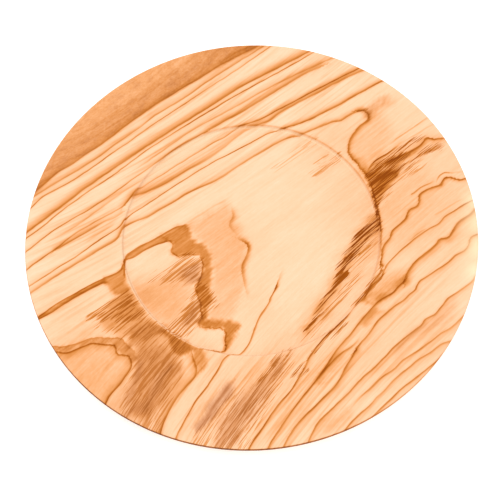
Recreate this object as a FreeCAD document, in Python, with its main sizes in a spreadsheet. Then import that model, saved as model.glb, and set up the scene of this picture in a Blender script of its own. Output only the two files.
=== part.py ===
"""A wide-rimmed offering plate turned from one blank of olive wood, with a felt disc under its foot.

Frame: millimetres, +Z up. The origin is the centre of the felt's underside, on the table top.
The plate and the felt are both round about Z, so every profile is drawn in the XZ plane.
"""
import FreeCAD, Part
import os
import Sketcher

DIMENSIONS = [
    ("plate_diameter", 305.0, "outside diameter of the rim, nominally 12 inches"),
    ("rim_top", 19.0, "height of the rim's upper edge before it is rounded over"),
    ("rim_edge", 3.4, "thickness of the wood at the rim's edge"),
    ("rim_rounding", 1.3, "rounding of both edges of the rim"),
    ("rim_dish_radius", 650.0, "radius of the shallow hollow across the rim's upper face"),
    ("shoulder_height", 13.9, "height of the rim where it turns down into the well"),
    ("shoulder_rounding", 1.6, "rounding of that turn"),
    ("well_diameter", 175.0, "diameter of the well at the shoulder"),
    ("well_taper", 1.1, "how far the well's wall leans in from the shoulder to the floor"),
    ("well_corner", 2.0, "rounding between the well's wall and its floor"),
    ("well_floor", 11.3, "height of the well's flat floor"),
    ("foot_diameter", 156.0, "outside diameter of the foot ring"),
    ("foot_face", 1.0, "height of the foot ring's lower face, which the felt lifts off the table"),
    ("foot_root", 4.6, "height where the foot ring meets the flared underside"),
    ("foot_cove", 2.5, "rounding of that inner corner"),
    ("foot_rounding", 0.7, "rounding of the foot ring's lower edge"),
    ("flare_radius", 540.0, "radius of the slightly bellied underside of the rim"),
    ("recess_diameter", 142.0, "diameter of the recess that the felt is glued into"),
    ("felt_thickness", 2.0, "thickness of the felt, and so the height of the recess's ceiling"),
    ("felt_clearance", 0.5, "gap all round between the felt and the recess"),
]
TOOL_OVERRUN = 5.0  # how far a turning cut's outline runs out past the surface that it starts from

doc = FreeCAD.newDocument("offering_plate")
sheet = doc.addObject("Spreadsheet::Sheet", "dims")
for row, (alias, size, meaning) in enumerate(DIMENSIONS, start=1):
    sheet.set(f"A{row}", meaning)
    sheet.set(f"B{row}", str(size))
    sheet.setAlias(f"B{row}", alias)
doc.recompute()


def measure(expression):
    """The value of an expression on the sheet, in millimetres."""
    result = sheet.evalExpression(expression)
    return float(getattr(result, "Value", result))


def new_body(name):
    body = doc.addObject("PartDesign::Body", name)
    body.Label = name
    body.Placement = FreeCAD.Placement()
    return body


def new_sketch(body, name, plane):
    """An empty sketch on one of the body's own origin planes."""
    sketch = body.newObject("Sketcher::SketchObject", name)
    support = next(part for part in body.Origin.OriginFeatures if part.Role == plane)
    sketch.AttachmentSupport = [(support, "")]
    sketch.MapMode = "FlatFace"
    return sketch


def upper_arc(left, right, radius):
    """The shallow arc from left to right that sags below its chord, its centre far above."""
    chord = right - left
    to_centre = FreeCAD.Vector(-chord.y, chord.x, 0).normalize()
    height = (radius ** 2 - (chord.Length / 2) ** 2) ** 0.5
    centre = (left + right) / 2 + to_centre * height
    circle = Part.Circle(centre, FreeCAD.Vector(0, 0, 1), radius)
    return Part.ArcOfCircle(circle, circle.parameter(left), circle.parameter(right))


def bind(sketch, constraint, expression):
    """Adds a dimension to the sketch and ties it to an expression on the sheet."""
    number = sketch.addConstraint(constraint)
    sketch.setExpression(f"Constraints[{number}]", expression)


def draw_profile(sketch, corners, sagging=None):
    """A closed half-section, radius across and height up, with its corners bound to the sheet.

    corners holds a pair of expressions for each corner, and a radius of "0" puts it on the axis.
    sagging maps the number of the side that leaves a corner to its arc radius: that side is an arc.
    """
    sagging = sagging or {}
    points = [FreeCAD.Vector(measure(across), measure(up), 0) for across, up in corners]
    starts = []
    ends = []
    for side, point in enumerate(points):
        other = points[(side + 1) % len(points)]
        if side not in sagging:
            sketch.addGeometry(Part.LineSegment(point, other))
            starts.append((side, 1))
            ends.append((side, 2))
            continue
        left, right = sorted((point, other), key=lambda corner: corner.x)
        sketch.addGeometry(upper_arc(left, right, measure(sagging[side])))
        rising = left is point
        starts.append((side, 1 if rising else 2))
        ends.append((side, 2 if rising else 1))
    for side, end in enumerate(ends):
        sketch.addConstraint(Sketcher.Constraint("Coincident", *end, *starts[(side + 1) % len(starts)]))
    for side, (across, up) in enumerate(corners):
        if across == "0":
            sketch.addConstraint(Sketcher.Constraint("PointOnObject", *starts[side], -2))
        else:
            bind(sketch, Sketcher.Constraint("DistanceX", -1, 1, *starts[side], points[side].x), across)
        bind(sketch, Sketcher.Constraint("DistanceY", -1, 1, *starts[side], points[side].y), up)
    for side, radius in sagging.items():
        bind(sketch, Sketcher.Constraint("Radius", side, measure(radius)), radius)


def turn(body, kind, name, sketch):
    """A full turn of a profile about Z: a PartDesign Revolution adds it and a Groove cuts it."""
    feature = body.newObject(kind, name)
    feature.Profile = sketch
    feature.ReferenceAxis = (sketch, ["V_Axis"])
    feature.Angle = 360.0
    sketch.Visibility = False
    doc.recompute()
    return feature


def ring_edge(feature, radius, height):
    """The name of the feature's full circle nearest to a radius and height."""
    def miss(number):
        curve = feature.Shape.Edges[number].Curve
        if not isinstance(curve, Part.Circle):
            return float("inf")
        return abs(curve.Radius - radius) + abs(curve.Center.z - height)

    return f"Edge{min(range(len(feature.Shape.Edges)), key=miss) + 1}"


def round_over(body, name, base, rings, radius):
    """A fillet on the circles given as pairs of expressions for radius and height."""
    fillet = body.newObject("PartDesign::Fillet", name)
    fillet.Base = (base, [ring_edge(base, measure(across), measure(up)) for across, up in rings])
    fillet.setExpression("Radius", radius)
    doc.recompute()
    return fillet


def check_cut(before, after):
    """A turning cut that points away from the wood would leave its volume as it was."""
    if after.Shape.Volume >= before.Shape.Volume:
        raise RuntimeError(f"{after.Name} cuts nothing")


def make_turned_plate():
    """The wooden plate: the blank's outside, then the well, then the recess under the foot."""
    rim = "dims.plate_diameter / 2"
    rim_bottom = (rim, "dims.rim_top - dims.rim_edge")
    shoulder = ("dims.well_diameter / 2", "dims.shoulder_height")
    foot = "dims.foot_diameter / 2"
    recess = "dims.recess_diameter / 2"
    floor_edge = ("dims.well_diameter / 2 - dims.well_taper", "dims.well_floor")

    body = new_body("turned_plate")
    outside = new_sketch(body, "outside_profile", "XZ_Plane")
    draw_profile(
        outside,
        [
            ("0", "dims.foot_face"),
            (foot, "dims.foot_face"),
            (foot, "dims.foot_root"),
            rim_bottom,
            (rim, "dims.rim_top"),
            shoulder,
            ("0", "dims.shoulder_height"),
        ],
        sagging={2: "dims.flare_radius", 4: "dims.rim_dish_radius"},
    )
    blank = turn(body, "PartDesign::Revolution", "turned_outside", outside)

    well_outline = new_sketch(body, "well_profile", "XZ_Plane")
    overrun = f"dims.shoulder_height + {TOOL_OVERRUN}"
    lean = f"dims.well_taper * {TOOL_OVERRUN} / (dims.shoulder_height - dims.well_floor)"
    draw_profile(
        well_outline,
        [
            ("0", "dims.well_floor"),
            floor_edge,
            (f"dims.well_diameter / 2 + {lean}", overrun),
            ("0", overrun),
        ],
    )
    well = turn(body, "PartDesign::Groove", "turned_well", well_outline)
    check_cut(blank, well)

    recess_outline = new_sketch(body, "recess_profile", "XZ_Plane")
    draw_profile(
        recess_outline,
        [
            ("0", f"dims.foot_face - {TOOL_OVERRUN}"),
            (recess, f"dims.foot_face - {TOOL_OVERRUN}"),
            (recess, "dims.felt_thickness"),
            ("0", "dims.felt_thickness"),
        ],
    )
    hollow = turn(body, "PartDesign::Groove", "felt_recess", recess_outline)
    check_cut(well, hollow)

    corner = round_over(body, "well_corner_round", hollow, [floor_edge], "dims.well_corner")
    lip = round_over(body, "shoulder_round", corner, [shoulder], "dims.shoulder_rounding")
    edge = round_over(body, "rim_round", lip, [rim_bottom, (rim, "dims.rim_top")], "dims.rim_rounding")
    cove = round_over(body, "foot_cove_round", edge, [(foot, "dims.foot_root")], "dims.foot_cove")
    round_over(body, "foot_edge_round", cove, [(foot, "dims.foot_face")], "dims.foot_rounding")
    return body


def make_base_felt():
    """The felt disc glued into the recess, standing a little proud of the foot ring."""
    body = new_body("base_felt")
    disc = new_sketch(body, "felt_outline", "XY_Plane")
    size = "dims.recess_diameter / 2 - dims.felt_clearance"
    disc.addGeometry(Part.Circle(FreeCAD.Vector(), FreeCAD.Vector(0, 0, 1), measure(size)))
    disc.addConstraint(Sketcher.Constraint("Coincident", 0, 3, -1, 1))
    bind(disc, Sketcher.Constraint("Radius", 0, measure(size)), size)
    pad = body.newObject("PartDesign::Pad", "felt_disc")
    pad.Profile = disc
    pad.setExpression("Length", "dims.felt_thickness")
    disc.Visibility = False
    doc.recompute()
    return body


sub_parts = [make_turned_plate(), make_base_felt()]
doc.recompute()

failed = [item.Name for item in doc.Objects if {"Invalid", "Error"} & set(item.State)]
if failed:
    raise RuntimeError(f"failed to compute: {failed}")
for sub_part in sub_parts:
    if sub_part.Shape.isNull() or not sub_part.Shape.isValid():
        raise RuntimeError(f"{sub_part.Label} has no valid shape")

os.makedirs("parts", exist_ok=True)
for sub_part in sub_parts:
    sub_part.Shape.exportStep(f"parts/{sub_part.Label}.step")
    box = sub_part.Shape.optimalBoundingBox(False)
    print(
        f"{sub_part.Label}: {box.XLength:.2f} x {box.YLength:.2f} x {box.ZLength:.2f} mm,"
        f" z {box.ZMin:.2f} to {box.ZMax:.2f}, {sub_part.Shape.Volume / 1000:.1f} cm3"
    )
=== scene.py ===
"""The offering plate at rest: figured olive wood turned on a lathe, with a felt disc under its foot.

The wood's figure is given in plate millimetres (x to the right, y away from the viewer): growth lines,
the heartwood, stained patches, streaks of dark hairlines and slow changes of the ground, with painted
shade and painted light at the rim's edge, the well's wall and the right rim. It is worked
out for each point of the mesh, and the wood's nodes draw the sharp edges and the fibre itself.
All else is in metres, except where a comment says mm.
"""
import bpy
import bmesh
import math
import numpy as np
from mathutils import Matrix, Vector


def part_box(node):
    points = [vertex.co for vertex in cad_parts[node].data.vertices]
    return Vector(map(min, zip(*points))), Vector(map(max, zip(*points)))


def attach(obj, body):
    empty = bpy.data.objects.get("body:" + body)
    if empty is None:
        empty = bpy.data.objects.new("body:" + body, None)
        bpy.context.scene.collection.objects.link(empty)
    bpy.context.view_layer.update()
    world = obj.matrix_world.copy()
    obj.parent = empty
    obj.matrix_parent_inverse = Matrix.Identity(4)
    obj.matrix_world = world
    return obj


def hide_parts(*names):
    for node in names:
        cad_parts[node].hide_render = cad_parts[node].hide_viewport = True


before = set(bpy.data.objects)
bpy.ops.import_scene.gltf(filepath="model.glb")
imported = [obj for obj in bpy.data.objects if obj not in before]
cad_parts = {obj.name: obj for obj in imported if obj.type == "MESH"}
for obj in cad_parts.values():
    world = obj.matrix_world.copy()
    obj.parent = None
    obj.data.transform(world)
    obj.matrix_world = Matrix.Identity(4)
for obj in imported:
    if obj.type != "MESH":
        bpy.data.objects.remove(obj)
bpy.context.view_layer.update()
scene = bpy.context.scene
MM = 0.001

# ---- camera ----
CAMERA_TILT = math.radians(63.424)  # how steeply it looks down
CAMERA_ROLL = math.radians(-4.785)
CAMERA_DISTANCE = 0.94
CAMERA_AIM = (-0.00129, -0.01046, 0.0135)
CAMERA_LENS = 100.5  # in mm, as is the sensor's width
CAMERA_SENSOR = 36

camera = bpy.data.objects.new("camera", bpy.data.cameras.new("camera"))
scene.collection.objects.link(camera)
camera.matrix_world = (
    Matrix.Translation(CAMERA_AIM)
    @ Matrix.Rotation(math.pi / 2 - CAMERA_TILT, 4, "X")
    @ Matrix.Rotation(CAMERA_ROLL, 4, "Z")
    @ Matrix.Translation((0, 0, CAMERA_DISTANCE))
)
camera.data.lens = CAMERA_LENS
camera.data.sensor_width = CAMERA_SENSOR
camera.data.clip_start = 0.01
camera.data.clip_end = 20
scene.camera = camera
scene.view_settings.view_transform = "Standard"

# ---- the wood's figure ----
# A growth line is (darkness of its sharp edge, darkness and reach of the soft band on its left,
# width of the edge, raggedness, course). A course point is x, y and, where it isn't 1, its strength.
LINES = [
    # from the lower left rim into the well, then the faint end of the same ring
    (0.67, 0.37, 5, 2.04, 0.5, [(-143, -51), (-135, -46.5), (-125, -39.5), (-115, -33.5), (-105, -28.5),
     (-100, -26.5), (-97, -27, 0)]),
    (0.73, 0, 0, 1.61, 0.4, [(-100, -22.5, 0.6), (-105, -25), (-110, -27.5), (-130, -39), (-143, -48.5)]),
    (0.64, 0, 0, 1.87, 0.5, [(-44, 14, 0.5), (-50, 13), (-55, 10.5), (-70, 3), (-75, 1), (-84, -4.5),
     (-86, -7.5), (-87, -13), (-89, -17.5), (-94, -20.5), (-100, -22.5, 0.6)]),
    (0.67, 0, 0, 1.61, 0.6, [(-86, -22, 0.7), (-86, -14), (-85.5, -9), (-82, -8.5), (-78, -6.5), (-74, -4),
     (-65, 0), (-60, 1.5), (-56, 2.5), (-53, 0, 0.6), (-55, -6, 0.6), (-51, -9.5)]),
    (0.64, 0.07, 3, 1.53, 1.2, [(-51, -9.5, 0.3), (-45, -9), (-40, -10), (-36, -10, 0.6), (-34.5, -14),
     (-34, -20), (-38, -31), (-40, -36), (-38, -43), (-37, -50), (-37, -56), (-40, -60, 0.5),
     (-37, -63, 0.7), (-30, -64.5), (-23, -66), (-22, -70), (-23, -74), (-22, -79), (-25, -81.5),
     (-30, -80.5), (-36, -79.5, 0.8), (-42, -79, 0.3)]),
    (0.21, 0, 0, 2.07, 0.5, [(-44, 14), (-30, 22), (-22, 27), (-15, 30, 0.4), (-8, 34, 0)]),
    (0.31, 0.15, 6, 2.55, 0.5, [(-12, 26, 0), (-11, 18), (-14, 11, 0.8), (-9, 2, 0)]),
    (0.64, 0.27, 5, 3.2, 0.5, [(-8, -1, 0.3), (-4, -4), (-2.5, -7), (-4, -13, 0.8), (-7, -19),
     (-8, -25, 0.8), (-7.5, -31, 0.5), (-6, -42, 0.15), (-6, -46, 0)]),
    # the thin ring that climbs from the near rim to the middle of the well
    (0.4, 0, 0, 2.75, 0.8, [(20, -24, 0), (16, -33, 0.8), (14, -38), (12, -42, 0)]),
    (0.77, 0.11, 3, 1.61, 0.4, [(15, -35, 0.5), (14, -38), (10, -45), (7, -51), (0, -61), (-6, -75),
     (-9, -80), (-13, -84, 0.8), (-16, -84.5, 0.5), (-20, -84.5, 0.8), (-25, -88.5), (-28, -94),
     (-36, -106), (-40, -110.5), (-45, -117), (-54, -133), (-57, -139)]),
    # the lobe at the lower left
    (0.73, 0.31, 7, 1.7, 0.8, [(-101, -114), (-98, -108), (-92, -101), (-88, -95.5), (-84, -89), (-84, -84),
     (-86, -80), (-90, -79.5), (-93, -78), (-94, -73), (-100, -71.5), (-108, -70), (-114, -71.5),
     (-120, -74), (-126, -76), (-132, -75)]),
    (0.47, 0, 0, 1.84, 1.2, [(-80, -80, 0.3), (-85, -74, 0.6), (-89, -69, 0.8), (-93, -67), (-100, -66.5),
     (-106, -66), (-112, -67), (-120, -70), (-128, -71.5), (-134, -71)]),
    (0.62, 0.31, 7, 1.87, 0.7, [(-67, -137), (-64, -128), (-60, -120), (-55, -112), (-50, -106),
     (-43, -98.5), (-42, -93), (-44, -84)]),
    # the sapwood lines, from the well towards the heartwood
    (0.51, 0.3, 5, 2.04, 0.5, [(-149, -32), (-130, -18.5), (-100, 0), (-92, 4.5), (-89, 8), (-87.3, 12),
     (-85, 16), (-82, 18), (-78, 19.5, 0.9), (-70, 22, 0.9), (-60, 27.5), (-50, 32.5), (-40, 38.5),
     (-20, 46.7), (-10, 52.7, 0.8), (0, 58.8, 0.9), (20, 70), (30, 74.8), (36, 76.2), (42, 76.5), (50, 79),
     (60, 82.5), (64, 83.5), (70, 84), (75, 87), (80, 89), (85, 90)]),
    (0.61, 0.34, 5, 2.46, 0.8, [(83, 90), (87, 89.5), (89, 86), (88, 82), (84, 79.5), (80, 76), (74, 68),
     (72.5, 63), (72.5, 58), (74, 53), (77, 49.5), (82, 40)]),
    (0.73, 0.13, 4, 1.2, 0.3, [(-150, -27), (-130, -13), (-120, -7), (-110, 0.5), (-100, 7.5), (-90, 14),
     (-87, 17), (-84.5, 21), (-80, 25.5), (-70, 31.5), (-50, 44.5), (-30, 56.5), (-20, 62), (-10, 66.5),
     (10, 76.5), (18, 80.5), (24, 82), (31, 82.5)]),
    (0.64, 0.43, 5, 1.78, 0.4, [(31, 82.5, 0.8), (40, 84.5), (50, 88), (60, 92.5), (70, 96.5), (80, 101.5),
     (100, 110.5), (104, 111.5)]),
    (0.15, 0.17, 5, 1.61, 0.4, [(-112, 4, 0), (-105, 9), (-96, 15), (-88, 21, 0)]),
    (0.49, 0.38, 5, 1.53, 0.4, [(-131, 0.5), (-110, 13), (-105, 16), (-100, 19, 0.7), (-92, 22, 0.5),
     (-86, 26, 0.5)]),
    (0.35, 0.43, 7, 1.87, 0.5, [(-84, 32, 0.5), (-78, 39, 0.9), (-70, 41.5), (-60, 45.5), (-50, 50.5),
     (-40, 56.5), (-30, 61.5, 0.8), (-20, 67.5, 0.7), (-2, 81, 0.5), (4, 85, 0.5), (14, 87.5), (20, 89.2),
     (25, 93), (31, 97), (40, 101), (70, 114.5), (80, 118.5), (91, 122)]),
    (0.67, 0.21, 4.5, 1.36, 0.4, [(-151, -14), (-145, -9), (-131, 1.5), (-120, 11, 0.7), (-110, 17),
     (-105, 20), (-100, 22.5, 0.8), (-90, 28, 0.7), (-85, 31, 0.7), (-81.5, 35, 0.7), (-76, 43, 0.7),
     (-70, 47, 0.7), (-40, 65.2, 0.7), (-20, 77, 0.7), (-12, 81, 0.7), (-5, 85.5, 0.7), (0, 87.5), (10, 90),
     (20, 94), (31, 99.5), (70, 117), (88, 124)]),
    (0.57, 0.21, 4, 1.2, 0.4, [(-151, 0), (-130, 17), (-110, 29), (-90, 42.5), (-80, 50, 0.8),
     (-70, 57, 0.7), (-60, 64, 0.8), (-50, 71.5), (-40, 77.5), (-30, 82.5), (-24, 85, 0.8)]),
    (0.44, 0.47, 7, 1.95, 0.6, [(-27, 84, 0.3), (-20, 87.5), (-10, 93), (0, 97.5), (20, 109), (40, 120),
     (50, 125, 0.8), (60, 128.5, 0.7)]),
    (0.28, 0.24, 6, 1.61, 0.5, [(-140, 5, 0), (-120, 16, 0.8), (-100, 31), (-80, 45, 0.5), (-60, 58, 0)]),
    (0.33, 0.24, 6, 1.53, 0.5, [(-80, 56, 0), (-60, 69.5), (-50, 76.5), (-35, 86.5), (-20, 94.5),
     (0, 104.5), (20, 115), (40, 123.5), (64, 132.5)]),
    (0.69, 0.17, 4, 1.2, 0.3, [(-152, 9), (-140, 18.5), (-130, 27.5), (-110, 43), (-100, 49.5), (-90, 56.5),
     (-70, 71.5), (-60, 78), (-50, 84.5), (-20, 102), (0, 113), (57, 141)]),
    (0.49, 0.49, 7.5, 1.87, 0.5, [(-151, 14), (-120, 39), (-110, 47), (-80, 68), (-50, 87.5), (-20, 105.5),
     (0, 117.5), (20, 127), (54, 142)]),
    (0.61, 0.21, 5, 1.2, 0.4, [(-147, 34), (-140, 41), (-130, 47), (-120, 52.5), (-100, 66.5), (-90, 74),
     (-80, 80.5), (-70, 88), (-50, 101.5), (-40, 107.5), (-20, 120.5, 0.7), (0, 132.5, 0.7), (10, 139),
     (22, 146.5)]),
    (0.42, 0.32, 6, 1.53, 0.5, [(-142, 44), (-130, 52), (-120, 58), (-100, 71), (-90, 79), (-80, 86),
     (-70, 93, 0.7), (-60, 101), (-40, 112.5), (-20, 126), (0, 138), (20, 149)]),
    # the edge of the heartwood
    (0.44, 0.34, 6, 1.7, 0.9, [(-151, 40), (-138, 51.5), (-130, 59), (-120, 65.5), (-110, 73), (-100, 79.5),
     (-90, 87), (-80, 95), (-60, 109), (-40, 121), (-30, 126.5), (-20, 132.5), (-10, 138), (14, 149)]),
    (0.31, 0.21, 4, 1.84, 0.6, [(-10, 140, 0.3), (0, 146), (10, 150)]),
    # the wavy lines on the right
    (0.69, 0.26, 4.5, 2.04, 0.7, [(149.5, 28), (146, 27.2), (143, 28.5), (139, 30.5), (135, 30), (133, 27),
     (132, 25.2), (125, 24), (120, 22), (116.5, 19.5), (115.5, 15), (114, 11.5), (108, 9), (106, 4),
     (102, 0), (95, -5.5), (93, -10), (88, -16.5), (86, -22), (84.5, -30)]),
    (0.88, 0.09, 3, 1.84, 2.2, [(85, -28, 0.6), (84, -35), (79, -40), (75, -45.5), (71, -50, 0.5),
     (67, -54, 0.8), (62, -60, 0.2), (58, -65, 0.9), (50, -72), (45, -76), (40, -81), (35, -87),
     (30, -92.5, 0.8)]),
    (0.69, 0.22, 5, 1.44, 0.8, [(32, -90, 0.7), (27, -99), (20, -110), (15, -116), (10, -121), (3, -129.5),
     (-8, -144.5), (-12, -151)]),
    (0.51, 0.04, 2, 1.27, 0.5, [(129, 29, 0), (123, 27), (118, 25), (112, 21)]),
    (0.53, 0.04, 2, 1.38, 0.5, [(141, 33.5, 0.3), (136, 34.5), (132, 32.5), (130, 29.5, 0.6)]),
    (0.67, 0.11, 4, 1.44, 0.5, [(151.5, 10.5), (145, 8), (140, 5.2), (131, 0.7), (127, -3.7), (120, -6.5),
     (110, -12.5), (100, -20), (92, -26.5), (88, -31), (84, -39), (79, -43), (75, -47), (71, -53),
     (66, -57, 0)]),
    (0.4, 0, 0, 1.2, 1, [(118, -6, 0), (116, -7), (110, -11), (105, -15, 0)]),
    (0.21, 0, 0, 1.38, 1, [(145, 12.5, 0), (142, 11.5), (134, 7.5), (127, 4), (124, 3, 0)]),
    (0.54, 0.37, 6.5, 2.21, 0.8, [(152, 4), (148, 0), (142, -3), (138, -6), (134, -12), (131, -15),
     (126, -15.2), (123, -18.5), (119, -22), (112, -26.5), (106, -31.5), (101, -38), (99, -43)]),
    (0.62, 0.26, 5, 1.61, 0.6, [(99, -43), (93, -48), (90, -51), (83, -54.5), (78, -58), (66, -70),
     (60, -77), (48, -89.5), (40, -100.5), (30, -112.5), (20, -123.5), (4, -144.5), (0, -151)]),
    (0.56, 0.18, 3, 1.61, 0.8, [(66, -80, 0), (60, -86, 0.8), (54, -89.5), (47, -94.5), (40, -101.5),
     (36, -106.5, 0.3)]),
    (0.67, 0.22, 5, 1.53, 0.6, [(152, -15), (147, -16.5), (145, -19), (144, -22.5), (141, -26), (134, -29),
     (130, -32.5), (115, -41), (109, -44.3), (106, -48), (105, -50.5), (101, -53.5), (97, -57), (90, -61),
     (84, -65.5), (78, -70), (71, -79), (66, -84), (61, -90)]),
    (0.62, 0.3, 6, 1.78, 0.8, [(61, -90), (53, -102), (46, -113), (38, -120), (22, -134.5), (14, -144),
     (9, -152)]),
    (0.58, 0.22, 6, 1.7, 0.6, [(145, -46), (142, -50), (138, -52.3), (132, -56), (125, -59.5), (122, -63),
     (118, -67), (115, -70.3), (109, -72.5), (105, -77), (98, -81.5), (90, -87), (84, -92), (80, -96),
     (72, -103), (64, -109), (50, -122), (38, -132), (32, -138), (27, -146), (24, -152)]),
    (0.44, 0.18, 6, 1.7, 0.6, [(134, -73), (124, -81), (117, -84), (110, -89), (100, -95), (90, -100.5),
     (85, -105), (75, -111), (68, -117), (60, -123, 0.6), (54, -128, 0.2)]),
    (0.52, 0.18, 6, 1.7, 0.6, [(123, -90), (116, -92), (108, -97), (100, -101), (94, -105.5), (88, -109.5),
     (82, -114, 0.8), (76, -120, 0.7), (70, -125, 0.7), (65, -130), (58, -135), (52, -140.5), (46, -147)]),
    (0.64, 0.18, 6, 1.7, 0.6, [(116, -99), (112, -103), (100, -111.5), (87, -120), (80, -126), (70, -134),
     (62, -141)]),
    # lines through the dark patch beside the well
    (0.67, 0.26, 5, 2.04, 0.9, [(140, 61), (132, 61.3), (129, 63), (126.5, 63, 0.9), (124, 59.5),
     (120, 56.5), (113, 53.5), (98, 48)]),
    (0.8, 0, 0, 1.73, 1.2, [(108, 60, 0), (103, 57), (98, 54), (92, 51), (88, 48, 0.8), (84, 43, 0.6)]),
    (0.47, 0, 0, 1.38, 0.8, [(128, 77.5, 0.6), (122, 74), (115, 70), (108, 66), (102, 62, 0.2)]),
    (0.27, 0, 0, 1.38, 0.8, [(127, 70, 0.7), (120, 66.5), (112, 63, 0.5), (106, 60, 0)]),
    (0.4, 0, 0, 1.2, 0.8, [(134, 54, 0.3), (124, 51), (116, 47.5), (108, 43), (103, 39, 0)]),
    (0.4, 0, 0, 1.2, 0.8, [(126, 48, 0), (117, 44), (108, 38), (101, 33, 0.4)]),
    (0.88, 0, 0, 1.61, 0.8, [(85, 33, 0.4), (86, 24), (87.6, 8), (87.8, 0, 0.9), (87.4, -8, 0.4),
     (86, -18, 0.2)]),
]

HEARTWOOD = [(-175, 30), (-151, 40), (-138, 51.5), (-130, 59), (-110, 73), (-90, 87), (-70, 102), (-50, 115),
             (-30, 126.5), (0, 142.5), (30, 160), (-40, 200), (-175, 150)]

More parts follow.
